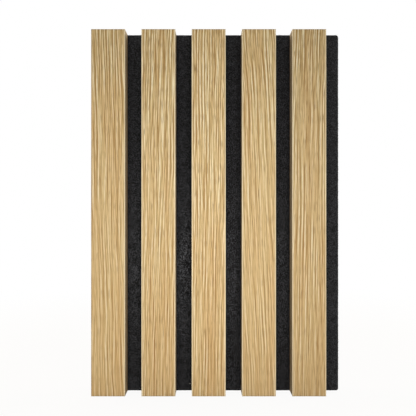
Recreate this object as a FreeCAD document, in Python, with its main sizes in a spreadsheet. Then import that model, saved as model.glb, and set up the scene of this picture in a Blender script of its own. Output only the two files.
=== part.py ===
import FreeCAD, Part
import math
import os
import Sketcher

# Acoustic slat wall panel: veneered slats stapled side by side on a felt board.
# X runs to the right seen from the front, the slats face -Y, and Z is up.
# The origin is the centre of the felt's flat back, the face that lies on the wall.
# Lengths are in millimetres. The glue films between the layers have no thickness.

# Driving sizes: alias, value, what it is
SIZES = [
    ("slat_count", 5, "slats side by side"),
    ("panel_height", 292, "length of the slats and of the felt"),
    ("slat_width", 27, "width of a slat"),
    ("groove_width", 13, "felt that shows beside each slat"),
    ("core_thickness", 11, "fibreboard core"),
    ("veneer_thickness", 0.6, "oak face veneer"),
    ("layer_thickness", 0.4, "balancing layer on the back of a slat"),
    ("arris_radius", 0.3, "sanded long edges of the veneer"),
    ("felt_thickness", 9, "felt board"),
    ("felt_corner", 2, "radius of the felt's die-cut corners"),
    ("staples_per_slat", 3, "staples in a row up each slat"),
    ("staple_margin", 30, "from a slat's end to its first staple"),
    ("crown_width", 12.8, "staple, over its two legs"),
    ("wire_thickness", 0.65, "staple wire, in the plane of its bends"),
    ("wire_width", 0.95, "staple wire, across its bends"),
    ("bend_radius", 0.6, "inside of the staple's shoulders"),
    ("leg_bite", 6.6, "how far a staple's legs go into the core"),
    ("point_bevel", 0.28, "chisel point, off each side of the wire"),
]

# Expressions shared by the pieces
PITCH = "(Sizes.slat_width + Sizes.groove_width)"
PANEL_WIDTH = f"(Sizes.slat_count * {PITCH})"
CORE_BACK = "(Sizes.felt_thickness + Sizes.layer_thickness)"
VENEER_BACK = f"({CORE_BACK} + Sizes.core_thickness)"
LEG_LENGTH = f"({CORE_BACK} + Sizes.leg_bite)"
HALF_SPAN = "((Sizes.crown_width - Sizes.wire_thickness) / 2)"
SHOULDER = "(Sizes.bend_radius + Sizes.wire_thickness / 2)"

FRONTWARD = FreeCAD.Vector(0, -1, 0)
UPWARD = FreeCAD.Vector(0, 0, 1)
TOLERANCE = 1e-6

# Points of a sketched line or arc, and the sketch's own origin, as constraints name them
START, END = 1, 2
ORIGIN = (-1, 1)

doc = FreeCAD.newDocument("AcousticSlatPanel")
sheet = doc.addObject("Spreadsheet::Sheet", "Sizes")
for line, (alias, value, meaning) in enumerate(SIZES, start=1):
    sheet.set(f"A{line}", meaning)
    sheet.set(f"B{line}", str(value))
    sheet.setAlias(f"B{line}", alias)
doc.recompute()

slats = range(1, int(sheet.slat_count) + 1)
rows = range(1, int(sheet.staples_per_slat) + 1)


def new_body(name):
    body = doc.addObject("PartDesign::Body", name)
    body.Label = name
    return body


def new_sketch(body, name, role, offset="0"):
    # A sketch on one of the body's own origin planes, moved along that plane's normal
    plane = next(plane for plane in body.Origin.OriginFeatures if plane.Role == role)
    sketch = body.newObject("Sketcher::SketchObject", name)
    sketch.AttachmentSupport = [(plane, "")]
    sketch.MapMode = "FlatFace"
    sketch.setExpression(".AttachmentOffset.Base.z", offset)
    return sketch


def worth(expression):
    # What an expression comes to now, to draw a sketch near its final shape
    return float(sheet.evalExpression(expression))


def dimension(sketch, name, kind, places, expression):
    number = sketch.addConstraint(Sketcher.Constraint(kind, *places, worth(expression)))
    sketch.renameConstraint(number, name)
    sketch.setExpression(f".Constraints.{name}", expression)


def draw_rectangle(sketch, left, below, width, height):
    # left and below say how far the rectangle reaches past the sketch's origin
    near, low = -worth(left), -worth(below)
    far, high = near + worth(width), low + worth(height)
    corners = [FreeCAD.Vector(x, y, 0) for x, y in
               ((near, low), (far, low), (far, high), (near, high))]
    for start, end in zip(corners, corners[1:] + corners[:1]):
        sketch.addGeometry(Part.LineSegment(start, end))
    for side in range(4):
        sketch.addConstraint(Sketcher.Constraint("Coincident", side, END, (side + 1) % 4, START))
        direction = ("Horizontal", "Vertical")[side % 2]
        sketch.addConstraint(Sketcher.Constraint(direction, side))
    dimension(sketch, "left", "DistanceX", (0, START, *ORIGIN), left)
    dimension(sketch, "below", "DistanceY", (0, START, *ORIGIN), below)
    dimension(sketch, "width", "DistanceX", (0, START, 0, END), width)
    dimension(sketch, "height", "DistanceY", (1, START, 1, END), height)


def pad(body, sketch, length):
    feature = body.newObject("PartDesign::Pad", f"{body.Name}_pad")
    feature.Profile = sketch
    feature.setExpression(".Length", length)
    doc.recompute()
    return feature


def edges_along(shape, direction):
    # Name and edge for each straight edge that runs along the direction
    named = [(f"Edge{number}", edge) for number, edge in enumerate(shape.Edges, start=1)]
    return [(name, edge) for name, edge in named
            if isinstance(edge.Curve, Part.Line)
            and edge.Curve.Direction.cross(direction).Length < TOLERANCE]


def edges_in_front(shape):
    # The upright edges that lie furthest forward
    return [name for name, edge in edges_along(shape, UPWARD)
            if edge.Vertexes[0].Y - shape.BoundBox.YMin < TOLERANCE]


def dress_edges(body, kind, size_name, size):
    # Fillets or chamfers the front upright edges of what the body holds so far
    base = body.Tip
    feature = body.newObject(f"PartDesign::{kind}", f"{body.Name}_{kind.lower()}")
    feature.Base = (base, edges_in_front(base.Shape))
    feature.setExpression(size_name, size)


def slat_centre(slat):
    # The spacing is centred on the panel, and each slat leaves its groove on its right
    return f"({slat} - (Sizes.slat_count + 1) / 2) * {PITCH} - Sizes.groove_width / 2"


def row_height(row):
    spacing = "(Sizes.panel_height - 2 * Sizes.staple_margin) / max(Sizes.staples_per_slat - 1; 1)"
    return f"({row} - (Sizes.staples_per_slat + 1) / 2) * {spacing}"


def slat_layer(name, slat, thickness, back):
    # The layer's plan section on the ground plane, run up the slat's whole length
    body = new_body(name)
    section = new_sketch(body, f"{name}_section", "XY_Plane")
    draw_rectangle(section, "Sizes.slat_width / 2", thickness, "Sizes.slat_width", thickness)
    pad(body, section, "Sizes.panel_height")
    body.setExpression(".Placement.Base.x", slat_centre(slat))
    body.setExpression(".Placement.Base.y", f"-{back}")
    body.setExpression(".Placement.Base.z", "-Sizes.panel_height / 2")
    return body


def oak_veneer(slat):
    body = slat_layer(f"oak_veneer_{slat}", slat, "Sizes.veneer_thickness", VENEER_BACK)
    dress_edges(body, "Fillet", ".Radius", "min(Sizes.arris_radius; Sizes.veneer_thickness / 2)")
    return body


def felt_board():
    # Level with the first slat's outer side, and one groove wider than the last slat, so that
    # the next panel goes on at the same spacing
    body = new_body("felt_board")
    outline = new_sketch(body, "felt_outline", "XZ_Plane")
    draw_rectangle(outline, f"{PANEL_WIDTH} / 2", "Sizes.panel_height / 2",
                   PANEL_WIDTH, "Sizes.panel_height")
    board = pad(body, outline, "Sizes.felt_thickness")
    corners = body.newObject("PartDesign::Fillet", "felt_corners")
    corners.Base = (board, [name for name, edge in edges_along(board.Shape, FRONTWARD)])
    corners.setExpression(".Radius", "Sizes.felt_corner")
    return body


def draw_staple_path(sketch):
    # The middle of the wire: a leg, a shoulder, the crown, a shoulder and a leg
    left_leg, left_shoulder, crown, right_shoulder, right_leg = range(5)
    quarter = math.pi / 2
    half, turn, tip = worth(HALF_SPAN), worth(SHOULDER), -worth(LEG_LENGTH)
    top = -worth("Sizes.wire_thickness / 2")
    point = FreeCAD.Vector
    sketch.addGeometry(Part.LineSegment(point(-half, tip), point(-half, top - turn)))
    sketch.addGeometry(Part.ArcOfCircle(Part.Circle(point(turn - half, top - turn), UPWARD, turn),
                                        quarter, 2 * quarter))
    sketch.addGeometry(Part.LineSegment(point(turn - half, top), point(half - turn, top)))
    sketch.addGeometry(Part.ArcOfCircle(Part.Circle(point(half - turn, top - turn), UPWARD, turn),
                                        0, quarter))
    sketch.addGeometry(Part.LineSegment(point(half, top - turn), point(half, tip)))
    for first, first_point, second, second_point in (
            (left_leg, END, left_shoulder, END),
            (left_shoulder, START, crown, START),
            (crown, END, right_shoulder, END),
            (right_shoulder, START, right_leg, START)):
        sketch.addConstraint(Sketcher.Constraint("Tangent", first, first_point, second, second_point))
    sketch.addConstraint(Sketcher.Constraint("Horizontal", crown))
    sketch.addConstraint(Sketcher.Constraint("Vertical", left_leg))
    sketch.addConstraint(Sketcher.Constraint("Vertical", right_leg))
    sketch.addConstraint(Sketcher.Constraint("Equal", left_shoulder, right_shoulder))
    dimension(sketch, "shoulder", "Radius", (left_shoulder,), SHOULDER)
    dimension(sketch, "sink", "DistanceY", (crown, START, *ORIGIN), "Sizes.wire_thickness / 2")
    dimension(sketch, "left_span", "DistanceX", (left_leg, START, *ORIGIN), HALF_SPAN)
    dimension(sketch, "right_span", "DistanceX", (*ORIGIN, right_leg, END), HALF_SPAN)
    dimension(sketch, "left_length", "DistanceY", (left_leg, START, *ORIGIN), LEG_LENGTH)
    dimension(sketch, "right_length", "DistanceY", (right_leg, END, *ORIGIN), LEG_LENGTH)


def staple(slat, row):
    # Flat wire bent to a U: the crown lies across the felt's back and level with it, and the
    # legs go through the felt and the balancing layer into the core and end in chisel points
    name = f"staple_{slat}_{row}"
    body = new_body(name)
    path = new_sketch(body, f"{name}_path", "XY_Plane")
    draw_staple_path(path)
    wire = new_sketch(body, f"{name}_wire", "XZ_Plane", LEG_LENGTH)
    draw_rectangle(wire, "Sizes.crown_width / 2", "Sizes.wire_width / 2",
                   "Sizes.wire_thickness", "Sizes.wire_width")
    doc.recompute()
    bent = body.newObject("PartDesign::AdditivePipe", f"{name}_bent")
    bent.Profile = wire
    bent.Spine = (path, [f"Edge{number}" for number in range(1, len(path.Shape.Edges) + 1)])
    doc.recompute()
    dress_edges(body, "Chamfer", ".Size", "min(Sizes.point_bevel; Sizes.wire_thickness * 0.45)")
    body.setExpression(".Placement.Base.x", slat_centre(slat))
    body.setExpression(".Placement.Base.z", row_height(row))
    return body


def stapled(name, blank, staples):
    # The blank with the channels that the staples press through it
    channels = doc.addObject("Part::Compound", f"{name}_channels")
    channels.Links = staples
    piece = doc.addObject("Part::Cut", name)
    piece.Label = name
    piece.Base = blank
    piece.Tool = channels
    return piece


pieces = []
all_staples = []
for slat in slats:
    staples = [staple(slat, row) for row in rows]
    layer = slat_layer(f"layer_blank_{slat}", slat, "Sizes.layer_thickness", "Sizes.felt_thickness")
    core = slat_layer(f"core_blank_{slat}", slat, "Sizes.core_thickness", CORE_BACK)
    pieces.append(stapled(f"balancing_layer_{slat}", layer, staples))
    pieces.append(stapled(f"mdf_core_{slat}", core, staples))
    pieces.append(oak_veneer(slat))
    all_staples += staples
pieces.append(stapled("felt_backing", felt_board(), all_staples))
pieces += all_staples
doc.recompute()

for item in doc.Objects:
    if "Invalid" in item.State or "Error" in item.State:
        raise RuntimeError(f"{item.Label} did not build: {item.State}")
for piece in pieces:
    if piece.Shape.isNull() or not piece.Shape.isValid() or len(piece.Shape.Solids) != 1:
        raise RuntimeError(f"{piece.Label} is not one sound solid")

os.makedirs("parts", exist_ok=True)
for piece in pieces:
    piece.Shape.exportStep(os.path.join("parts", f"{piece.Label}.step"))
    box = piece.Shape.BoundBox
    print(f"{piece.Label}: {piece.Shape.Volume:.3f} mm3, x {box.XMin:.2f} to {box.XMax:.2f}, "
          f"y {box.YMin:.2f} to {box.YMax:.2f}, z {box.ZMin:.2f} to {box.ZMax:.2f}")
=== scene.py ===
"""Finishes an acoustic slat wall panel: oak faces on fibreboard slats, stapled to a black felt board.

X runs to the right seen from the front, the slats face -Y and Z is up. Lengths are in metres.
"""
import math

import bpy
import numpy as np
from bpy.props import FloatProperty, FloatVectorProperty, IntProperty, PointerProperty
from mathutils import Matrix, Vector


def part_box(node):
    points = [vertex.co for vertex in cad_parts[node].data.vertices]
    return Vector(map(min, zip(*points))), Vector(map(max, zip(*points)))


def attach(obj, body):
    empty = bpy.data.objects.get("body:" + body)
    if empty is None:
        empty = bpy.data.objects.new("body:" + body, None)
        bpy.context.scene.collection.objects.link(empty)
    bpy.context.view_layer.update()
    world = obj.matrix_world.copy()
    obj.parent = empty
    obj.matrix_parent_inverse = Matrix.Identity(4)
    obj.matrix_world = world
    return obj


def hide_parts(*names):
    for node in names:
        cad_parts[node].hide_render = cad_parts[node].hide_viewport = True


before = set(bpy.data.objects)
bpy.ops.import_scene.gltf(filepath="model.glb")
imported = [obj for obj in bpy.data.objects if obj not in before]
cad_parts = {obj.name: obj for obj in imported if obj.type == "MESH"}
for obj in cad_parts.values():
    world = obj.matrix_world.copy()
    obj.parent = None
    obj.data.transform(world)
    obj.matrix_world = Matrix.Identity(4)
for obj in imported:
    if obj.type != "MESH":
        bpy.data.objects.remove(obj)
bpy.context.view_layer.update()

bl_info = {
    "name": "Acoustic slat wall panel",
    "version": (1, 0, 0),
    "blender": (4, 5, 0),
    "location": "3D View > Sidebar > Slat panel",
    "description": "Finishes the oak faces, fibreboard cores, felt and staples of a slat wall panel",
    "category": "Object",
}

MM = 0.001
BODY = "root"


def corners(node):
    """Lowest and highest corner of a piece of the frame, as arrays."""
    return tuple(np.array(corner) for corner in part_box(node))


SLATS = [number for number in range(1, len(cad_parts) + 1)
         if f"mdf_core_{number}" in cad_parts]
STAPLES = sorted(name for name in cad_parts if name.startswith("staple_"))
FELT_LOW, FELT_HIGH = corners("felt_backing")
FACE_FRONT = corners("oak_veneer_1")[0][1]
FLOOR_LEVEL = FELT_LOW[2]


def linear(hex_colour):
    """An sRGB hex colour as linear red, green and blue."""
    srgb = np.array([int(hex_colour[place:place + 2], 16) for place in (1, 3, 5)]) / 255
    curve = np.where(srgb <= 0.04045, srgb / 12.92, ((srgb + 0.055) / 1.055) ** 2.4)
    return tuple(curve.tolist())


# Settings that a user would change

def length(name, description, default):
    return FloatProperty(name=name, description=description, default=default, unit="LENGTH", precision=5)


def share(name, description, default):
    return FloatProperty(name=name, description=description, default=default, min=0.0, subtype="FACTOR")


def colour(name, description, hex_colour):
    return FloatVectorProperty(name=name, description=description, default=linear(hex_colour),
                               size=3, min=0.0, max=1.0, subtype="COLOR")


class OakSettings(bpy.types.PropertyGroup):
    arris: length("Arris radius", "Sanded long edges of each face", 0.25 * MM)
    # The paler edge is partly sanding wear and partly a painted highlight along the arrises
    sanded_highlight: length("Sanded edge", "Width that sanding the arrises has made paler", 1.2 * MM)
    relief: length("Grain relief", "How much the softer early wood has sunk", 0.04 * MM)
    pitch: length("Ring pitch", "Common width of a year's growth", 2.6 * MM)
    sway: length("Sway", "How far the grain sways over the slat's height", 0.8 * MM)
    wiggle: length("Wiggle", "Size of the grain's small waves", 0.35 * MM)
    fibre_width: length("Fibre width", "Width of a streak in the grain, drawn coarse", 1.2 * MM)
    fibre_run: length("Fibre run", "Length over which a streak keeps its tone", 45 * MM)
    pore_width: length("Pore width", "Width of an open pore, drawn coarse", 0.38 * MM)
    pore_run: length("Pore run", "Length of an open pore, drawn coarse", 10 * MM)
    band_run: length("Band run", "Length over which a band of rings keeps its tone", 70 * MM)
    # The faces are darker in a narrow rim at the slats' ends and along the panel's left edge
    dark_rim: length("Browned end", "Height that the saw has browned at each end", 0.8 * MM)
    light: colour("Light oak", "Late wood between the pores", "#FFF3D1")
    middle: colour("Middle oak", "The wood's common tone", "#E1C794")
    dark: colour("Dark oak", "Early wood at the start of a ring", "#B28F57")
    pore: colour("Pore", "Inside of the open pores", "#8A6A3A")
    warm: colour("Warm tint", "Tint of the browner bands", "#FAF3EC")
    # These two tints are painted light: a slightly brighter, cooler light on the wood at the top and a
    # dimmer, warmer one at the foot
    upper: colour("Upper tint", "Tint of the wood at its upper end", "#FDFFFE")
    lower: colour("Lower tint", "Tint of the wood at its lower end", "#F7F4F1")


class CoreSettings(bpy.types.PropertyGroup):
    ease: length("Eased edge", "How far the sawn edges are worn round", 0.12 * MM)
    saw_pitch: length("Saw marks", "Distance between the marks of the rip saw", 2.6 * MM)
    saw_depth: length("Saw mark depth", "How deep the saw's marks are", 0.025 * MM)
    light: colour("Light board", "Paler fibres of the sawn board", "#CBB794")
    dark: colour("Dark board", "Darker fibres and resin", "#8C7453")
    dense: colour("Dense tint", "Tint of the board near its pressed faces", "#C9BBA8")
    layer: colour("Balancing layer", "Kraft paper soaked in resin", "#4E3524")


class FeltSettings(bpy.types.PropertyGroup):
    corner: length("Corner radius", "Die-cut corners of the board", 2.0 * MM)
    edge: length("Edge radius", "How round the cut edges are", 0.5 * MM)
    pillow: length("Pillow", "How far the felt swells between the slats", 0.25 * MM)
    lumps: length("Lumps", "Height of the needled surface's lumps", 0.08 * MM)
    dimple: length("Dimple", "How far a staple's crown pulls the felt in", 0.5 * MM)
    mat_width: length("Mat width", "Width of a bundle of matted fibres, drawn coarse", 0.16 * MM)
    mat_run: length("Mat run", "Length over which such a bundle shows", 4.5 * MM)
    nap: share("Nap", "How far the matted fibres lean up the board", 0.115)
    fibre_radius: length("Fibre radius", "Half the thickness of a loose fibre, drawn coarse", 0.035 * MM)
    front_fibres: IntProperty(name="Front fibres", description="Loose fibres in the grooves", default=6500)
    back_fibres: IntProperty(name="Back fibres", description="Loose fibres on the back", default=6500)
    edge_fibres: IntProperty(name="Edge fibres", description="Loose fibres on the cut edges", default=2600)
    dark: colour("Dark felt", "Felt between the fibres", "#030303")
    light: colour("Light felt", "Matted fibres at the surface", "#27272C")
    strand: colour("Strand", "Loose fibres that catch the light", "#38383E")


class StudioSettings(bpy.types.PropertyGroup):
    distance: length("Camera distance", "From the slats' faces to the camera", 0.370)
    camera_x: length("Camera across", "Camera's place from left to right", -0.00704)
    camera_z: length("Camera height", "Camera's place above the panel's middle", -0.0012)
    lens: FloatProperty(name="Lens", description="In millimetres, on a 36 mm sensor", default=40.27)
    shift: FloatProperty(name="Shift", description="Share of the frame that it is raised", default=0.015)
    key_distance: length("Front lamp distance", "From the slats' faces to the front lamp", 0.262)
    key_power: FloatProperty(name="Front lamp", description="In watts", default=0.525, unit="POWER")
    side_power: FloatProperty(name="Side lamps", description="Each, in watts", default=4.4, unit="POWER")
    back_power: FloatProperty(name="Back lamp", description="In watts", default=4.4, unit="POWER")
    ambient: share("Ambient", "Brightness of the room round the panel", 0.30)


SETTINGS = {
    "slat_oak": OakSettings,
    "slat_core": CoreSettings,
    "slat_felt": FeltSettings,
    "slat_studio": StudioSettings,
}


# Shapes

def value_noise(across, along, cell_across, cell_along, seed):
    """Smooth random heights from 0 to 1. A lattice of cells has a random number at each corner,
    and a point takes its cell's four numbers, eased between them by 3t^2 - 2t^3 both ways."""
    u, v = across / cell_across, along / cell_along
    u, v = u - u.min(), v - v.min()
    i, j = u.astype(int), v.astype(int)
    lattice = np.random.default_rng(seed).random((i.max() + 2, j.max() + 2))
    s, t = u - i, v - j
    s, t = s * s * (3 - 2 * s), t * t * (3 - 2 * t)
    near = lattice[i, j] * (1 - s) + lattice[i + 1, j] * s
    far = lattice[i, j + 1] * (1 - s) + lattice[i + 1, j + 1] * s
    return near * (1 - t) + far * t


def make_piece(name, points, faces, material, replaced=(), attributes=None):
    """A mesh object from an array of points and a list of faces, riding on the panel."""
    mesh = bpy.data.meshes.new(name)
    mesh.from_pydata(points.reshape(-1, 3).tolist(), [], faces)
    for key, values in (attributes or {}).items():
        layer = mesh.attributes.new(key, "FLOAT", "POINT")
        layer.data.foreach_set("value", np.asarray(values, np.float32).ravel())
    mesh.shade_smooth()
    mesh.set_sharp_from_angle(angle=math.radians(40))
    mesh.materials.append(material)
    piece = bpy.data.objects.new(name, mesh)
    bpy.context.scene.collection.objects.link(piece)
    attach(piece, BODY)
    if replaced:
        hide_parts(*replaced)


def finish_node(name, material):
    """Gives a piece of the frame its finish and leaves its shape alone."""
    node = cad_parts[name]
    node.data.materials.clear()
    node.data.materials.append(material)


def ring_faces(rings, size):
    """Four-sided faces between neighbouring rings of points, each ring closed on itself and
    running anticlockwise seen from the last ring, with one flat face over each end."""
    start = (np.arange(rings - 1) * size)[:, None]
    here = np.arange(size)
    after = (here + 1) % size
    sides = np.stack([start + here, start + after, start + size + after, start + size + here], axis=-1)
    first = here[::-1].tolist()
    last = (here + (rings - 1) * size).tolist()
    return sides.reshape(-1, 4).tolist() + [first, last]


def slat_section(low, high, arris, front_steps, side_steps, arc_steps=4):
    """A slat's plan section, anticlockwise seen from above: a rectangle whose two front corners
    are quarter circles, with evenly spaced points along the front and the sides. It returns the
    points and each point's share of the front face, 1 on the flat and 0 behind the arrises."""
    turn = np.linspace(0, math.pi / 2, arc_steps + 1)
    (left, front), (right, back) = low[:2], high[:2]
    flat = np.linspace(left + arris, right - arris, front_steps + 1)[1:-1]
    deep = np.linspace(front + arris, back, side_steps + 1)[1:]
    parts = [
        (left + arris * (1 - np.cos(turn)), front + arris * (1 - np.sin(turn)), np.sin(turn)),
        (flat, np.full_like(flat, front), np.ones_like(flat)),
        (right - arris * (1 - np.sin(turn)), front + arris * (1 - np.cos(turn)), np.cos(turn)),
        (np.full_like(deep, right), deep, np.zeros_like(deep)),
        (np.full_like(deep, left), deep[::-1], np.zeros_like(deep)),
    ]
    return tuple(np.concatenate(column) for column in zip(*parts))


def swept_slat(low, high, section, step, ease):
    """A section carried up the slat in rings, the same distance apart. The first and last ring
    are drawn in towards the middle by the eased edge, so that the sawn ends have fine arrises."""
    x, y, _ = section
    rings = int((high[2] - low[2]) / step)
    z = np.concatenate([[low[2]], np.linspace(low[2] + ease, high[2] - ease, rings), [high[2]]])
    middle = (low + high) / 2
    half = (high - low) / 2
    drawn_in = np.zeros_like(z)
    drawn_in[[0, -1]] = ease
    points = np.empty((len(z), len(x), 3))
    points[..., 0] = middle[0] + (x - middle[0]) * (1 - drawn_in[:, None] / half[0])
    points[..., 1] = middle[1] + (y - middle[1]) * (1 - drawn_in[:, None] / half[1])
    points[..., 2] = z[:, None]
    return points


def crowded(low, high, step, places, fine):
    """Grid lines from low to high, both of them included, evenly spaced, with finer ones within
    reach of each place. The places come as pairs of place and reach. A line that would lie too
    close after another is left out."""
    outside, too_close = 0.1 * MM, 0.15 * MM
    even = np.linspace(low, high, int(round((high - low) / step)) + 1)
    extra = [np.arange(place - reach, place + reach, fine) for place, reach in places]
    lines = np.unique(np.round(np.concatenate([even, *extra]), 6))
    lines = lines[(lines > low - outside) & (lines < high + outside)]
    lines = lines[np.concatenate([[True], np.diff(lines) > too_close])]
    lines[[0, -1]] = low, high
    return lines


def strands(roots, normals, first_axis, second_axis, lengths, lift, radius, rng):
    """Thin three-sided tubes that lie on a surface. A strand starts at its root, runs in a
    random direction of the plane of the two axes, bends with the square of its length and
    arches off the surface by lift times 4t(1 - t), with both ends just under it. What would
    pass the felt's outline is pressed back onto it."""
    count, steps, sides = len(roots), 4, 3
    t = np.linspace(0, 1, steps)[None, :, None]
    angle = rng.uniform(0, 2 * math.pi, (count, 1))
    ahead = np.cos(angle) * first_axis + np.sin(angle) * second_axis
    aside = np.cross(normals, ahead)
    bend = rng.normal(0, 0.3, (count, 1, 1))
    arch = lift[:, None, None] * 4 * t * (1 - t) - radius
    run = ahead[:, None] * t + aside[:, None] * bend * t * t
    line = roots[:, None] + lengths[:, None, None] * run + normals[:, None] * arch
    # The furthest that a strand stands off the felt's box, along each axis
    proud = np.array([0.25, 0.6, 0.25]) * MM
    line = np.clip(line, FELT_LOW - proud, FELT_HIGH + proud)
    line[..., 2] = np.maximum(line[..., 2], FLOOR_LEVEL + 2 * radius)
    turn = np.arange(sides) * 2 * math.pi / sides
    around = (np.cos(turn)[:, None] * aside[:, None] + np.sin(turn)[:, None] * normals[:, None]) * radius
    points = line[:, :, None] + around[:, None]
    one = ring_faces(steps, sides)
    quads = np.array(one[:-2])
    caps = np.array(one[-2:])
    start = (np.arange(count) * steps * sides)[:, None, None]
    faces = (start + quads).reshape(-1, 4).tolist() + (start + caps).reshape(-1, 3).tolist()
    return points, faces


def groove_share(x):
    """Where a place lies across its groove, from 0 beside a slat to 1 beside the next, and below
    0 under a slat. Past the last slat it runs on to the felt's free edge."""
    across = np.full(x.shape, -1.0)
    for slat in SLATS:
        start = corners(f"mdf_core_{slat}")[1][0]
        follower = f"mdf_core_{slat + 1}"
        end = corners(follower)[0][0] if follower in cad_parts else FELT_HIGH[0]
        inside = (x > start) & (x < end)
        across = np.where(inside, (x - start) / (end - start), across)
    return across


def crown_distance(x, z):
    """Distance from each place on the back to the nearest staple's crown."""
    nearest = np.full(x.shape, np.inf)
    for name in STAPLES:
        low, high = corners(name)
        past_x = np.maximum(np.maximum(low[0] - x, x - high[0]), 0)
        past_z = np.maximum(np.maximum(low[2] - z, z - high[2]), 0)
        nearest = np.minimum(nearest, np.hypot(past_x, past_z))
    return nearest


def felt_lumps(x, z, cell, seed):
    """Smooth random lumps from 0 to 1, large ones of one cell and small ones of half a cell."""
    large = value_noise(x, z, cell, cell, seed)
    small = value_noise(x, z, cell / 2, cell / 2, seed + 1)
    return large * 0.6 + small * 0.4


def staple_dent(away, depth):
    """How deep the felt is drawn in at a distance from a crown. It is the depth times a bell
    curve of 1.5 mm, and 0.3 of the depth times one of 6 mm."""
    return depth * np.exp(-(away / (1.5 * MM)) ** 2) + 0.3 * depth * np.exp(-(away / (6 * MM)) ** 2)


def felt_surface(felt):
    """A closed slab with rounded corners. Two grids of the same lines make its front and back.
    In each corner a point keeps its direction from the corner's centre, and the square rings
    round that centre become round ones. Bands of points join the grids: a quarter circle out
    from the front, straight back, and a quarter circle in again, each moved along the outline's
    normal. The front swells between the slats, by 1 less the fourth power of how far a place
    lies from its groove's middle line. The back sinks round the staples' crowns, and smooth
    random lumps cover all of it."""
    middle = (FELT_LOW + FELT_HIGH) / 2
    half = (FELT_HIGH - FELT_LOW)[[0, 2]] / 2 - felt.edge
    bend = felt.corner - felt.edge
    staple_boxes = [corners(name) for name in STAPLES]
    rows_at = sorted({round(float(low[2] + high[2]) / 2, 5) for low, high in staple_boxes})
    ends = [(middle[0] + side * (half[0] - bend / 2), bend / 2) for side in (-1, 1)]
    columns = crowded(middle[0] - half[0], middle[0] + half[0], 1.2 * MM, ends, 0.35 * MM)
    ends = [(middle[2] + side * (half[1] - bend / 2), bend / 2) for side in (-1, 1)]
    ends += [(row, 2.4 * MM) for row in rows_at]
    rows = crowded(middle[2] - half[1], middle[2] + half[1], 1.45 * MM, ends, 0.38 * MM)
    x, z = np.meshgrid(columns, rows)

    a, b = x - middle[0], z - middle[2]
    straight_a, straight_b = half - bend
    past_a = np.maximum(np.abs(a) - straight_a, 0) / bend
    past_b = np.maximum(np.abs(b) - straight_b, 0) / bend
    square = np.maximum(past_a, past_b)
    in_corner = (past_a > 0) & (past_b > 0)
    round_off = np.where(in_corner, square / np.maximum(np.hypot(past_a, past_b), 1e-9), 1.0)
    bent_x = middle[0] + np.sign(a) * (straight_a + bend * past_a * round_off)
    bent_z = middle[2] + np.sign(b) * (straight_b + bend * past_b * round_off)
    x = np.where(round_off < 1, bent_x, x)
    z = np.where(round_off < 1, bent_z, z)

    across = groove_share(x)
    open_felt = np.where(across > 0, 1 - np.abs(2 * across - 1) ** 4, 0)
    swell = felt.pillow * 0.6 + felt.lumps * felt_lumps(x, z, 2.6 * MM, 7)
    front = FELT_LOW[1] - open_felt * swell
    dent = staple_dent(crown_distance(x, z), felt.dimple)
    back = FELT_HIGH[1] - dent - felt.lumps * felt_lumps(x, z, 2.4 * MM, 17)

    index = np.arange(x.size).reshape(x.shape)
    loop = np.concatenate([index[0, :-1], index[:-1, -1], index[-1, :0:-1], index[:0:-1, 0]])
    around_x, around_z = x.ravel()[loop], z.ravel()[loop]
    inner_x = np.clip(around_x, middle[0] - half[0] + bend, middle[0] + half[0] - bend)
    inner_z = np.clip(around_z, middle[2] - half[1] + bend, middle[2] + half[1] - bend)
    normal_x, normal_z = (around_x - inner_x) / bend, (around_z - inner_z) / bend

    turn = np.linspace(0, math.pi / 2, 4)[1:]
    thick = FELT_HIGH[1] - FELT_LOW[1]
    straight = np.linspace(felt.edge, thick - felt.edge, 9)[1:-1]
    out = np.concatenate([felt.edge * np.sin(turn), np.full_like(straight, felt.edge),
                          felt.edge * np.cos(turn - turn[0])])
    deep = np.concatenate([felt.edge * (1 - np.cos(turn)), straight,
                           thick - felt.edge + felt.edge * np.sin(turn - turn[0])])
    # The cut edges are a little rougher than the faces
    along = np.arange(len(loop)) * 1.3 * MM
    fuzz = value_noise(*np.meshgrid(along, deep), 2.2 * MM, 1.8 * MM, 27) * felt.lumps * 1.4
    ring_x = around_x + normal_x * (out[:, None] - fuzz)
    ring_z = around_z + normal_z * (out[:, None] - fuzz)
    ring_y = np.broadcast_to(FELT_LOW[1] + deep[:, None], ring_x.shape)

    points = np.concatenate([
        np.stack([x, front, z], axis=-1).reshape(-1, 3),
        np.stack([x, back, z], axis=-1).reshape(-1, 3),
        np.stack([ring_x, ring_y, ring_z], axis=-1).reshape(-1, 3),
    ])
    quads = np.stack([index[:-1, :-1], index[:-1, 1:], index[1:, 1:], index[1:, :-1]], axis=-1)
    quads = quads.reshape(-1, 4)
    bands = 2 * x.size + np.arange(len(deep) * len(loop)).reshape(len(deep), len(loop))
    bands = np.concatenate([loop[None], bands, loop[None] + x.size])
    after = np.roll(bands, -1, axis=1)
    sides = np.stack([bands[:-1], bands[1:], after[1:], after[:-1]], axis=-1).reshape(-1, 4)
    faces = quads.tolist() + (quads[:, ::-1] + x.size).tolist() + sides.tolist()
    return points, faces


def grain_place(x, z, lean, oak, seed):
    """Where each place of a slat's face lies across the grain. It is the place from left to
    right, less the height times the tangent of the grain's lean, and moved sideways by smooth
    noise: a slow sway, and small waves of 9 by 20 mm."""
    sway = oak.sway * (2 * value_noise(x, z, 60 * MM, 75 * MM, seed) - 1)
    wiggle = oak.wiggle * (2 * value_noise(x, z, 9 * MM, 20 * MM, seed + 1) - 1)
    return x - z * math.tan(lean) + sway + wiggle


def ring_count(across, z, pitch, seed):
    """How many years of growth lie up to each place: the place across the grain over the ring
    pitch, made uneven by up to 1.2 years of smooth noise that is stretched along the slat."""
    return across / pitch + 1.2 * value_noise(across, z, 6 * MM, 240 * MM, seed + 2)


# Materials

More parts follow.
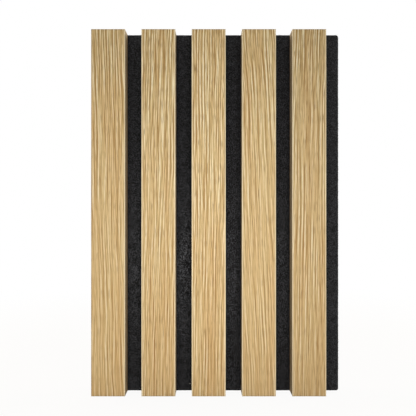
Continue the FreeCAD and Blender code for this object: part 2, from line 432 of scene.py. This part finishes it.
def fill(tree, node, inputs):
    """Sets a node's inputs, or links them to a socket or to another node's first output."""
    for key, value in inputs.items():
        if isinstance(value, bpy.types.Node):
            value = value.outputs[0]
        if isinstance(value, bpy.types.NodeSocket):
            tree.links.new(value, node.inputs[key])
        else:
            node.inputs[key].default_value = value


def add(tree, kind, settings=None, inputs=None):
    """Adds a node, sets its properties and fills its inputs."""
    node = tree.nodes.new("ShaderNode" + kind)
    for key, value in (settings or {}).items():
        setattr(node, key, value)
    fill(tree, node, inputs or {})
    return node


def new_material(name):
    """A material with its output and its shader, and the place on the object as a socket."""
    material = bpy.data.materials.new(name)
    material.use_nodes = True
    tree = material.node_tree
    tree.nodes.clear()
    shader = add(tree, "BsdfPrincipled")
    add(tree, "OutputMaterial", inputs={"Surface": shader})
    place = add(tree, "TexCoord").outputs["Object"]
    return material, tree, shader, place


def rgba(colour_value):
    return (*colour_value, 1.0)


def oak_material(oak):
    """Sliced light oak veneer, finished by sanding and sealed with a matt lacquer. The knife met the rings
    nearly square, so they stand as narrow upright bands: each starts dark with large pores and
    ends pale. The pores show as short dark dashes, drawn coarser than real ones so that they
    show, and the lacquer is so thin that it follows them. The grain shows as strongly as the
    figure attribute says. Some bands are browner, and a painted tint of the light shifts slowly
    with height. The arrises are paler, partly from sanding and partly as a painted highlight,
    and the sawn ends are darker."""
    material, tree, shader, place = new_material("sliced_oak_matt_lacquer")
    rings = add(tree, "Attribute", {"attribute_name": "ring"}).outputs["Fac"]
    across = add(tree, "Attribute", {"attribute_name": "across_grain"}).outputs["Fac"]
    up = add(tree, "SeparateXYZ", inputs={"Vector": place}).outputs["Z"]
    along_grain = add(tree, "CombineXYZ", inputs={"X": across, "Z": up})
    # Each noise: its width, the length over which it keeps its tone, its detail and how many
    # widths it is moved across. A streak is the difference between two places of one noise, so
    # that no broad patches are left.
    noises = {
        "fibre": (oak.fibre_width, oak.fibre_run, 2.0, 0.0),
        "beside": (oak.fibre_width, oak.fibre_run, 2.0, 0.8),
        "pore": (oak.pore_width, oak.pore_run, 1.0, 0.0),
        "band": (3.5 * MM, oak.band_run, 1.0, 0.0),
        "tint": (8.5 * MM, 2 * oak.band_run, 1.0, 0.0),
    }
    noise = {}
    for name, (width, run, detail, moved) in noises.items():
        drawn_out = add(tree, "Mapping",
                        inputs={"Vector": along_grain, "Location": (moved, 0, 0),
                                "Scale": (1 / width, 1, 1 / run)})
        noise[name] = add(tree, "TexNoise",
                          inputs={"Vector": drawn_out, "Scale": 1.0, "Detail": detail})

    # Early wood is dark at the start of each ring, more so in some bands than in others
    season = add(tree, "Math", {"operation": "FRACT"}, {0: rings})
    early = add(tree, "ValToRGB", inputs={"Fac": season})
    early.color_ramp.elements[0].color = (1, 1, 1, 1)
    early.color_ramp.elements[1].color = (0, 0, 0, 1)
    early.color_ramp.elements.new(0.28).color = (0.6, 0.6, 0.6, 1)
    early.color_ramp.elements.new(0.55).color = (0.08, 0.08, 0.08, 1)
    strength = add(tree, "MapRange",
                   inputs={"Value": noise["band"], "From Min": 0.3, "From Max": 0.7,
                           "To Min": 0.05, "To Max": 0.5})
    early = add(tree, "Math", {"operation": "MULTIPLY"}, {0: early, 1: strength})
    streak = add(tree, "Math", {"operation": "SUBTRACT"}, {0: noise["fibre"], 1: noise["beside"]})
    fibres = add(tree, "MapRange", {"clamp": False},
                 {"Value": streak, "From Min": -0.2, "From Max": 0.2, "To Min": 0.02, "To Max": 0.92})
    darkness = add(tree, "Math", {"operation": "ADD"}, {0: early, 1: fibres})
    # The figure scales what is darker or paler than the wood's common darkness
    common = 0.54
    figure = add(tree, "Attribute", {"attribute_name": "figure"}).outputs["Fac"]
    from_common = add(tree, "Math", {"operation": "SUBTRACT"}, {0: darkness, 1: common})
    darkness = add(tree, "Math", {"operation": "MULTIPLY_ADD"}, {0: from_common, 1: figure, 2: common})
    wood = add(tree, "ValToRGB", inputs={"Fac": darkness})
    wood.color_ramp.elements[0].color = rgba(oak.light)
    wood.color_ramp.elements[1].color = rgba(oak.dark)
    wood.color_ramp.elements.new(0.5).color = rgba(oak.middle)

    # Pores open where their noise is high, and a little sooner in early wood
    pored = add(tree, "Math", {"operation": "MULTIPLY_ADD"}, {0: early, 1: 0.12, 2: noise["pore"]})
    open_pore = add(tree, "MapRange",
                    inputs={"Value": pored, "From Min": 0.55, "From Max": 0.66, "To Max": 0.55})
    open_pore = add(tree, "Math", {"operation": "MULTIPLY"}, {0: open_pore, 1: figure})
    wood = add(tree, "Mix", {"data_type": "RGBA"}, {"Factor": open_pore, 6: wood, 7: rgba(oak.pore)})

    # The tints of the browner bands and the painted tint of the light, which changes with height,
    # and the paler long edges, partly from sanding and partly a painted highlight
    browner = add(tree, "MapRange", inputs={"Value": noise["tint"], "From Min": 0.4, "From Max": 0.65})
    tinted = add(tree, "Mix", {"data_type": "RGBA"},
                 {"Factor": browner, 6: (1, 1, 1, 1), 7: rgba(oak.warm)})
    tinted = add(tree, "VectorMath", {"operation": "MULTIPLY"},
                 {0: wood.outputs[2], 1: tinted.outputs[2]})
    low, high = corners("oak_veneer_1")
    height = add(tree, "MapRange", inputs={"Value": up, "From Min": low[2], "From Max": high[2]})
    # Painted light that changes with height: brighter and cooler at the top, dimmer and warmer at the foot
    painted_light_by_height = add(tree, "Mix", {"data_type": "RGBA"},
                    {"Factor": height, 6: rgba(oak.lower), 7: rgba(oak.upper)})
    tinted = add(tree, "VectorMath", {"operation": "MULTIPLY"}, {0: tinted, 1: painted_light_by_height.outputs[2]})
    sanded_highlight = add(tree, "Attribute", {"attribute_name": "sanded_highlight"}).outputs["Fac"]
    sanded_highlight = add(tree, "Math", {"operation": "MULTIPLY"}, {0: sanded_highlight, 1: 0.9})
    tinted = add(tree, "Mix", {"data_type": "RGBA"}, {"Factor": sanded_highlight, 6: tinted, 7: rgba(oak.light)})

    # The slat's own tone, partly the wood's and partly painted shade on the outer slats, and less at the
    # ends, where this share of it is left
    dark_rim_share = 0.62
    slat_tone_and_shade = add(tree, "Attribute", {"attribute_name": "tone"}).outputs["Fac"]
    from_middle = add(tree, "Math", {"operation": "ABSOLUTE"}, {0: up})
    end_tone = add(tree, "MapRange",
                   inputs={"Value": from_middle, "From Min": high[2] - oak.dark_rim,
                           "From Max": high[2], "To Min": 1.0, "To Max": dark_rim_share})
    slat_tone_and_shade = add(tree, "Math", {"operation": "MULTIPLY"}, {0: slat_tone_and_shade, 1: end_tone})
    toned = add(tree, "VectorMath", {"operation": "SCALE"}, {0: tinted.outputs[2], "Scale": slat_tone_and_shade})
    rough = add(tree, "MapRange", inputs={"Value": noise["fibre"], "To Min": 0.78, "To Max": 0.62})
    sunk = add(tree, "Math", {"operation": "ADD"}, {0: darkness, 1: open_pore})
    bump = add(tree, "Bump", {"invert": True}, {"Strength": 0.4, "Distance": 0.06 * MM, "Height": sunk})
    fill(tree, shader, {"Base Color": toned, "Roughness": rough, "Normal": bump,
                        "Specular IOR Level": 0.35})
    return material


def fibreboard_material(core):
    """Medium-density fibreboard, sawn and left raw: a dense brown mat of short wood fibres, dull,
    with paler and darker flecks, and harder and darker near the faces that the press met."""
    material, tree, shader, place = new_material("raw_sawn_fibreboard")
    flecks = add(tree, "TexNoise",
                 inputs={"Vector": place, "Scale": 1 / (0.9 * MM), "Detail": 4.0, "Roughness": 0.65})
    cloud = add(tree, "TexNoise", inputs={"Vector": place, "Scale": 1 / (14 * MM), "Detail": 2.0})
    tone = add(tree, "Mix", {"data_type": "FLOAT"}, {"Factor": 0.3, 2: flecks, 3: cloud})
    board = add(tree, "ValToRGB", inputs={"Fac": tone})
    board.color_ramp.elements[0].position = 0.34
    board.color_ramp.elements[0].color = rgba(core.dark)
    board.color_ramp.elements[1].position = 0.66
    board.color_ramp.elements[1].color = rgba(core.light)
    low, high = corners("mdf_core_1")
    centred = add(tree, "VectorMath", {"operation": "SUBTRACT"}, {0: place, 1: (low + high) / 2})
    deep = add(tree, "SeparateXYZ", inputs={"Vector": centred}).outputs["Y"]
    deep = add(tree, "Math", {"operation": "ABSOLUTE"}, {0: deep})
    half = (high[1] - low[1]) / 2
    near_face = add(tree, "MapRange", {"interpolation_type": "SMOOTHSTEP"},
                    {"Value": deep, "From Min": 0.45 * half, "From Max": half})
    pressed = add(tree, "Mix", {"data_type": "RGBA"},
                  {"Factor": near_face, 6: (1, 1, 1, 1), 7: rgba(core.dense)})
    board = add(tree, "VectorMath", {"operation": "MULTIPLY"}, {0: board, 1: pressed.outputs[2]})
    bump = add(tree, "Bump", inputs={"Strength": 0.5, "Distance": 0.12 * MM, "Height": flecks})
    fill(tree, shader, {"Base Color": board, "Normal": bump, "Roughness": 0.86})
    return material


def kraft_material(core):
    """Kraft paper soaked in resin and pressed: dark brown, hard and faintly glossy, with the
    paper's fine cloudiness."""
    material, tree, shader, place = new_material("resin_soaked_kraft_paper")
    cloud = add(tree, "TexNoise", inputs={"Vector": place, "Scale": 1 / (1.2 * MM), "Detail": 3.0})
    pale = [0.8 * part for part in core.dark]
    paper = add(tree, "Mix", {"data_type": "RGBA"},
                {"Factor": cloud, 6: rgba(core.layer), 7: rgba(pale)})
    fill(tree, shader, {"Base Color": paper.outputs[2], "Roughness": 0.5})
    return material


def felt_material(felt):
    """Needle-punched black polyester felt. Its matted fibres run in several directions, drawn
    coarser than real ones so that they show. Its faces are tufted below a millimetre and faintly
    cloudy, and its cut edges show the web's thin layers. Fibres at the surface are lighter and
    softly glossy, and the gaps between them black and dull. The fibres lean slightly up the
    board, as the needling machine left them, and their broad gloss leans too."""
    material, tree, shader, place = new_material("needle_punched_black_felt")
    # The matted fibres run in four directions, in degrees, and at each place the uppermost shows
    uppermost = 0.0
    for turn in (12, 57, 97, 148):
        drawn_out = add(tree, "Mapping", {"vector_type": "TEXTURE"},
                        {"Vector": place, "Rotation": (0, math.radians(turn), 0),
                         "Scale": (felt.mat_width, felt.mat_width, felt.mat_run)})
        fibres = add(tree, "TexNoise",
                     inputs={"Vector": drawn_out, "Scale": 1.0, "Detail": 1.0, "Distortion": 1.0})
        uppermost = add(tree, "Math", {"operation": "MAXIMUM"}, {0: uppermost, 1: fibres})
    # The faces show tufts, and the cut edges show the web's layers, thin and long
    tufts = add(tree, "TexNoise",
                inputs={"Vector": place, "Scale": 1 / (0.85 * MM), "Detail": 1.0, "Roughness": 0.6})
    drawn_out = add(tree, "Mapping", {"vector_type": "TEXTURE"},
                    {"Vector": place, "Scale": (felt.mat_run / 2, 2 * felt.mat_width, felt.mat_run / 2)})
    layers = add(tree, "TexNoise",
                 inputs={"Vector": drawn_out, "Scale": 1.0, "Detail": 2.0, "Distortion": 1.0})
    upright = add(tree, "NewGeometry").outputs["Normal"]
    on_face = add(tree, "SeparateXYZ", inputs={"Vector": upright}).outputs["Y"]
    on_face = add(tree, "Math", {"operation": "ABSOLUTE"}, {0: on_face})
    build = add(tree, "Mix", {"data_type": "FLOAT"}, {"Factor": on_face, 2: layers, 3: tufts})
    mat = add(tree, "Mix", {"data_type": "FLOAT"}, {"Factor": 0.6, 2: build, 3: uppermost})
    cloud = add(tree, "TexNoise", inputs={"Vector": place, "Scale": 1 / (5 * MM), "Detail": 3.0})
    tone = add(tree, "Mix", {"data_type": "FLOAT"}, {"Factor": 0.08, 2: mat, 3: cloud})
    # The tones that lie between the fibres and at the surface
    between, surface = 0.55, 0.63
    shade = add(tree, "ValToRGB", inputs={"Fac": tone})
    shade.color_ramp.elements[0].position = between
    shade.color_ramp.elements[0].color = rgba(felt.dark)
    shade.color_ramp.elements[1].position = surface
    shade.color_ramp.elements[1].color = rgba(felt.light)
    rough = add(tree, "MapRange",
                inputs={"Value": tone, "From Min": between, "From Max": surface,
                        "To Min": 1.0, "To Max": 0.28})
    leaning = add(tree, "VectorMath", {"operation": "ADD"}, {0: upright, 1: (0, 0, felt.nap)})
    leaning = add(tree, "VectorMath", {"operation": "NORMALIZE"}, {0: leaning})
    bump = add(tree, "Bump",
               inputs={"Strength": 0.7, "Distance": 0.25 * MM, "Height": mat, "Normal": leaning})
    fill(tree, shader, {"Base Color": shade, "Normal": bump, "Roughness": rough,
                        "Specular IOR Level": 0.32, "Sheen Weight": 0.02, "Sheen Roughness": 0.5})
    return material


def strand_material(felt):
    """Single polyester fibres, drawn from the melt: smooth and round, so each catches a little
    light, dyed black with an uneven depth of colour from fibre to fibre."""
    material, tree, shader, _ = new_material("loose_polyester_fibre")
    depth = add(tree, "Attribute", {"attribute_name": "depth"}).outputs["Fac"]
    dyed = add(tree, "Mix", {"data_type": "RGBA"},
               {"Factor": depth, 6: rgba(felt.dark), 7: rgba(felt.strand)})
    fill(tree, shader, {"Base Color": dyed.outputs[2], "Roughness": 0.5, "Specular IOR Level": 0.3})
    return material


def lint_material():
    """A stray undyed fibre, off-white and dull."""
    material, tree, shader, place = new_material("undyed_stray_fibre")
    cloud = add(tree, "TexNoise", inputs={"Vector": place, "Scale": 1 / (0.4 * MM)})
    tint = add(tree, "Mix", {"data_type": "RGBA"},
               {"Factor": cloud, 6: rgba(linear("#8F8F8A")), 7: rgba(linear("#D8D8D2"))})
    fill(tree, shader, {"Base Color": tint.outputs[2], "Roughness": 0.7})
    return material


def steel_material():
    """Galvanised steel wire, rolled flat: pale grey metal with a drawn, slightly cloudy zinc skin
    and fine marks along the wire."""
    material, tree, shader, place = new_material("galvanised_staple_wire")
    # The marks are 4 mm long on the crown, 10/9 mm on the legs and 1/9 mm wide
    marks = (1 / (4 * MM), 9 / (10 * MM), 9 / MM)
    drawn = add(tree, "Mapping", inputs={"Vector": place, "Scale": marks})
    drawn = add(tree, "TexNoise", inputs={"Vector": drawn, "Scale": 1.0, "Detail": 2.0})
    zinc = add(tree, "Mix", {"data_type": "RGBA"},
               {"Factor": drawn, 6: rgba(linear("#9C9FA3")), 7: rgba(linear("#CDD0D2"))})
    rough = add(tree, "MapRange", inputs={"Value": drawn, "To Min": 0.28, "To Max": 0.5})
    fill(tree, shader, {"Base Color": zinc.outputs[2], "Roughness": rough, "Metallic": 1.0})
    return material


def shown_rays(tree):
    """1 on the rays that see the background: from the camera, off gloss or through glass."""
    path = add(tree, "LightPath").outputs
    either = add(tree, "Math", {"operation": "MAXIMUM"},
                 {0: path["Is Camera Ray"], 1: path["Is Glossy Ray"]})
    return add(tree, "Math", {"operation": "MAXIMUM"}, {0: either, 1: path["Is Transmission Ray"]})


def floor_material():
    """White studio board: where it is seen it shows white and keeps a little of the panel's
    shadow. To the rays that light the panel it is a plain dull board, a little warm, that gives
    no light of its own."""
    material, tree, shader, place = new_material("white_studio_board")
    fill(tree, shader, {"Base Color": rgba(linear("#CDBB9C")), "Roughness": 0.9})
    white = add(tree, "Emission", inputs={"Color": (1, 1, 1, 1), "Strength": 1.0})
    reach = add(tree, "VectorMath", {"operation": "LENGTH"}, {0: place})
    # The shadow shows near the panel, and the board is fully white 0.6 m away
    whiteness = add(tree, "MapRange", {"interpolation_type": "SMOOTHSTEP"},
                    {"Value": reach.outputs["Value"], "From Min": 0.2, "From Max": 0.6,
                     "To Min": 0.94, "To Max": 1.0})
    share_white = add(tree, "Math", {"operation": "MULTIPLY"}, {0: shown_rays(tree), 1: whiteness})
    mixed = add(tree, "MixShader", inputs={0: share_white, 1: shader, 2: white})
    output = next(node for node in tree.nodes if node.type == "OUTPUT_MATERIAL")
    fill(tree, output, {"Surface": mixed})
    return material


# Operators, one for each piece or group of like pieces

class SLATPANEL_OT_oak_faces(bpy.types.Operator):
    """Makes the oak face of each slat"""
    bl_idname = "slatpanel.oak_faces"
    bl_label = "Oak faces"

    # Each slat comes from another part of the log: its tone, which is partly the wood's and partly
    # painted shade that darkens the outer slats, how strongly its grain shows, how many degrees the
    # grain leans to the right, and its rings' share of the pitch
    TONES_AND_SHADE = (0.965, 0.985, 1.01, 0.965, 0.885)
    FIGURES = (0.88, 1.06, 1.11, 0.9, 1.0)
    LEANS = (-1.5, 0.9, 0.5, -2.4, 0.4)
    RINGS = (1.45, 1.1, 0.85, 1.3, 0.95)
    # The grain shows more strongly higher up: its share at the foot, and what the height adds
    FOOT_FIGURE, HEIGHT_FIGURE = 0.72, 0.62
    # The share of its tone that the panel's left edge loses
    EDGE_LOSS = 0.35

    def execute(self, context):
        oak = context.scene.slat_oak
        material = oak_material(oak)
        slats = zip(SLATS, self.TONES_AND_SHADE, self.FIGURES, self.LEANS, self.RINGS)
        for slat, tone, strength, lean, width in slats:
            low, high = corners(f"oak_veneer_{slat}")
            section = slat_section(low, high, oak.arris, front_steps=76, side_steps=1)
            points = swept_slat(low, high, section, step=1.4 * MM, ease=0.08 * MM)
            x, z = points[..., 0], points[..., 2]
            facing = section[2]
            across = grain_place(x, z, math.radians(lean), oak, 10 * slat)
            rings = ring_count(across, z, oak.pitch * width, 10 * slat)
            points[..., 1] += oak.relief * (0.5 + 0.5 * np.cos(2 * math.pi * rings)) * facing
            from_left, from_right = x - low[0], high[0] - x
            # The slat's tone also carries painted shade: the slats away from the middle are darker
            tones_and_shade = np.full(x.shape, tone)
            if slat == SLATS[0]:
                # The panel's own left edge is darker instead of paler
                tones_and_shade *= 1 - self.EDGE_LOSS * np.clip(1 - from_left / oak.dark_rim, 0, 1)
                from_left = np.full(x.shape, np.inf)
            height = (z - low[2]) / (high[2] - low[2])
            figure = strength * (self.FOOT_FIGURE + self.HEIGHT_FIGURE * height ** 2)
            # Paler along the long edges, partly from sanding and partly a painted highlight on the arrises
            sanded_highlight = np.clip(1 - np.minimum(from_left, from_right) / oak.sanded_highlight, 0, 1)
            attributes = {"across_grain": across, "ring": rings, "tone": tones_and_shade, "figure": figure,
                          "sanded_highlight": sanded_highlight}
            make_piece(f"oak_face_{slat}", points, ring_faces(*points.shape[:2]), material,
                       [f"oak_veneer_{slat}"], attributes)
        return {"FINISHED"}


class SLATPANEL_OT_fibreboard_cores(bpy.types.Operator):
    """Makes the sawn fibreboard core of each slat"""
    bl_idname = "slatpanel.fibreboard_cores"
    bl_label = "Fibreboard cores"

    def execute(self, context):
        core = context.scene.slat_core
        material = fibreboard_material(core)
        for slat in SLATS:
            low, high = corners(f"mdf_core_{slat}")
            section = slat_section(low, high, core.ease, front_steps=2, side_steps=4, arc_steps=1)
            points = swept_slat(low, high, section, step=0.65 * MM, ease=core.ease)
            # The saw left waves up the slat that slant by 0.3 and fade in and out
            y, z = points[..., 1], points[..., 2]
            slant = z + 0.3 * y
            wobble = value_noise(y, z, 4 * MM, 3 * MM, slat + 90)
            marks = (0.5 + 0.5 * np.cos(2 * math.pi * slant / core.saw_pitch)) * (0.4 + 0.6 * wobble)
            inward = np.sign((low[0] + high[0]) / 2 - points[..., 0])
            points[..., 0] += inward * marks * core.saw_depth
            make_piece(f"sawn_core_{slat}", points, ring_faces(*points.shape[:2]), material,
                       [f"mdf_core_{slat}"])
        return {"FINISHED"}


class SLATPANEL_OT_balancing_layers(bpy.types.Operator):
    """Finishes the thin layer on the back of each slat"""
    bl_idname = "slatpanel.balancing_layers"
    bl_label = "Balancing layers"

    def execute(self, context):
        material = kraft_material(context.scene.slat_core)
        for slat in SLATS:
            finish_node(f"balancing_layer_{slat}", material)
        return {"FINISHED"}


class SLATPANEL_OT_staples(bpy.types.Operator):
    """Finishes the staples that hold the slats on the felt"""
    bl_idname = "slatpanel.staples"
    bl_label = "Staples"

    def execute(self, context):
        material = steel_material()
        for name in STAPLES:
            finish_node(name, material)
        return {"FINISHED"}


class SLATPANEL_OT_felt_board(bpy.types.Operator):
    """Makes the felt board"""
    bl_idname = "slatpanel.felt_board"
    bl_label = "Felt board"

    def execute(self, context):
        felt = context.scene.slat_felt
        points, faces = felt_surface(felt)
        make_piece("felt_board", points, faces, felt_material(felt), ["felt_backing"])
        return {"FINISHED"}


class SLATPANEL_OT_loose_fibres(bpy.types.Operator):
    """Lays the felt's loose fibres"""
    bl_idname = "slatpanel.loose_fibres"
    bl_label = "Loose fibres"

    def execute(self, context):
        felt = context.scene.slat_felt
        material = strand_material(felt)
        rng = np.random.default_rng(41)
        x_axis, y_axis, z_axis = np.eye(3)

        count = felt.front_fibres
        slat = rng.choice(SLATS, count)
        starts = np.array([corners(f"mdf_core_{number}")[1][0] for number in SLATS])
        next_slats = [corners(f"mdf_core_{number}")[0][0] for number in SLATS[1:]]
        ends = np.array([*next_slats, FELT_HIGH[0]])
        place = rng.uniform(0.04, 0.96, count)
        x = starts[slat - 1] * (1 - place) + ends[slat - 1] * place
        z = rng.uniform(FELT_LOW[2] + MM, FELT_HIGH[2] - MM, count)
        roots = np.stack([x, np.full(count, FELT_LOW[1] - felt.pillow * 0.7), z], axis=-1)
        self.lay("felt_fibres_front", roots, -y_axis, (x_axis, z_axis), (1.0, 3.6), 0.4,
                 felt, material, rng)

        count = felt.back_fibres
        x = rng.uniform(FELT_LOW[0] + MM, FELT_HIGH[0] - MM, count)
        z = rng.uniform(FELT_LOW[2] + MM, FELT_HIGH[2] - MM, count)
        # Fibres beside a crown lie in its dimple
        sunk = np.where(crown_distance(x, z) < 2.5 * MM, felt.dimple, felt.lumps * 0.5)
        roots = np.stack([x, FELT_HIGH[1] - sunk, z], axis=-1)
        self.lay("felt_fibres_back", roots, y_axis, (x_axis, z_axis), (1.5, 5.0), 0.4,
                 felt, material, rng)

        count = felt.edge_fibres
        reach = (FELT_HIGH - FELT_LOW)[[0, 2]] - 2 * felt.corner
        chances = np.array([reach[1], reach[1], reach[0], reach[0]]) / (2 * reach.sum())
        side = rng.choice(4, count, p=chances)
        y = rng.uniform(FELT_LOW[1], FELT_HIGH[1], count)
        x = rng.uniform(FELT_LOW[0] + felt.corner, FELT_HIGH[0] - felt.corner, count)
        z = rng.uniform(FELT_LOW[2] + felt.corner, FELT_HIGH[2] - felt.corner, count)
        inset = 0.1 * MM
        x = np.select([side == 0, side == 1], [FELT_LOW[0] + inset, FELT_HIGH[0] - inset], x)
        z = np.select([side == 2, side == 3], [FELT_LOW[2] + inset, FELT_HIGH[2] - inset], z)
        normal = np.array([-x_axis, x_axis, -z_axis, z_axis])[side]
        along = np.where((side < 2)[:, None], z_axis, x_axis)
        roots = np.stack([x, y, z], axis=-1)
        self.lay("felt_fibres_edges", roots, normal, (along, y_axis), (0.8, 2.6), 0.22,
                 felt, material, rng)

        # One stray fibre lies at the foot of the second groove
        lint = np.array([[-22.4 * MM, FELT_LOW[1] - felt.pillow, -140.2 * MM]])
        size, lift, radius = np.array([1.9 * MM]), np.array([0.2 * MM]), 0.16 * MM
        points, faces = strands(lint, -y_axis[None], x_axis, z_axis, size, lift, radius,
                                np.random.default_rng(3))
        make_piece("stray_lint", points, faces, lint_material())
        return {"FINISHED"}

    def lay(self, name, roots, normal, axes, reach, lift, felt, material, rng):
        """Lays one strand from each root in the plane of the two axes, of random length, lift and
        depth of dye. The reach and the lift are in millimetres."""
        count = len(roots)
        normals = np.broadcast_to(normal, roots.shape)
        lengths = rng.uniform(*reach, count) * MM
        lifts = rng.uniform(0.05, lift, count) * MM
        points, faces = strands(roots, normals, *axes, lengths, lifts, felt.fibre_radius, rng)
        depth = np.broadcast_to((rng.random(count) ** 2)[:, None, None], points.shape[:3])
        make_piece(name, points, faces, material, attributes={"depth": depth})


class SLATPANEL_OT_studio(bpy.types.Operator):
    """Sets the floor, lamps, background and camera"""
    bl_idname = "slatpanel.studio"
    bl_label = "Studio"

    def execute(self, context):
        scene = context.scene
        studio = scene.slat_studio
        half = 6.0
        rim = [(-half, -half, 0), (half, -half, 0), (half, half, 0), (-half, half, 0)]
        mesh = bpy.data.meshes.new("floor")
        mesh.from_pydata(rim, [], [(0, 1, 2, 3)])
        mesh.materials.append(floor_material())
        floor = bpy.data.objects.new("floor", mesh)
        floor.location.z = FLOOR_LEVEL
        scene.collection.objects.link(floor)

        # The photo's light comes from a little right of the panel's middle and below it
        front = (0.006, FACE_FRONT - studio.key_distance, -0.012)
        # Each lamp: its place, its width and height, and its power
        lamps = {
            "front_lamp": (front, (0.30, 0.10), studio.key_power),
            "left_lamp": ((-0.75, 0.2, 0.35), (0.5, 0.5), studio.side_power),
            "right_lamp": ((0.75, 0.2, 0.35), (0.5, 0.5), studio.side_power),
            "back_lamp": ((0.1, 0.9, 0.3), (0.6, 0.6), studio.back_power),
        }
        for name, (place, size, power) in lamps.items():
            self.lamp(scene, name, place, size, power)

        world = bpy.data.worlds.new("white_studio")
        world.use_nodes = True
        scene.world = world
        tree = world.node_tree
        tree.nodes.clear()
        room = add(tree, "Background", inputs={"Color": (1, 1, 1, 1), "Strength": studio.ambient})
        white = add(tree, "Background", inputs={"Color": (1, 1, 1, 1), "Strength": 1.0})
        both = add(tree, "MixShader", inputs={0: shown_rays(tree), 1: room, 2: white})
        add(tree, "OutputWorld", inputs={"Surface": both})

        lens = bpy.data.cameras.new("camera")
        lens.lens = studio.lens
        lens.sensor_width = 36.0
        lens.shift_y = studio.shift
        camera = bpy.data.objects.new("camera", lens)
        camera.location = (studio.camera_x, FACE_FRONT - studio.distance, studio.camera_z)
        camera.rotation_euler = (math.radians(90), 0, 0)
        scene.collection.objects.link(camera)
        scene.camera = camera
        scene.view_settings.view_transform = "Standard"
        return {"FINISHED"}

    def lamp(self, scene, name, place, size, power):
        """A softbox that faces the panel and that no camera sees."""
        data = bpy.data.lights.new(name, "AREA")
        data.shape = "RECTANGLE"
        data.size, data.size_y = size
        data.energy = power
        lamp = bpy.data.objects.new(name, data)
        lamp.location = place
        lamp.rotation_euler = (-lamp.location).to_track_quat("-Z", "Y").to_euler()
        lamp.visible_camera = False
        scene.collection.objects.link(lamp)


OPERATORS = (
    SLATPANEL_OT_oak_faces,
    SLATPANEL_OT_fibreboard_cores,
    SLATPANEL_OT_balancing_layers,
    SLATPANEL_OT_felt_board,
    SLATPANEL_OT_loose_fibres,
    SLATPANEL_OT_staples,
    SLATPANEL_OT_studio,
)


class SLATPANEL_PT_sidebar(bpy.types.Panel):
    """Lists the steps and their settings"""
    bl_idname = "SLATPANEL_PT_sidebar"
    bl_label = "Slat panel"
    bl_space_type = "VIEW_3D"
    bl_region_type = "UI"
    bl_category = "Slat panel"

    def draw(self, context):
        for step in OPERATORS:
            self.layout.operator(step.bl_idname)
        for name, group in SETTINGS.items():
            box = self.layout.box()
            for key in group.__annotations__:
                box.prop(getattr(context.scene, name), key)


def register():
    for group in SETTINGS.values():
        bpy.utils.register_class(group)
    for name, group in SETTINGS.items():
        setattr(bpy.types.Scene, name, PointerProperty(type=group))
    for step in OPERATORS:
        bpy.utils.register_class(step)
    bpy.utils.register_class(SLATPANEL_PT_sidebar)


def unregister():
    bpy.utils.unregister_class(SLATPANEL_PT_sidebar)
    for step in reversed(OPERATORS):
        bpy.utils.unregister_class(step)
    for name, group in SETTINGS.items():
        delattr(bpy.types.Scene, name)
        bpy.utils.unregister_class(group)


def main():
    register()
    for step in OPERATORS:
        group, action = step.bl_idname.split(".")
        getattr(getattr(bpy.ops, group), action)()


if __name__ == "__main__":
    main()
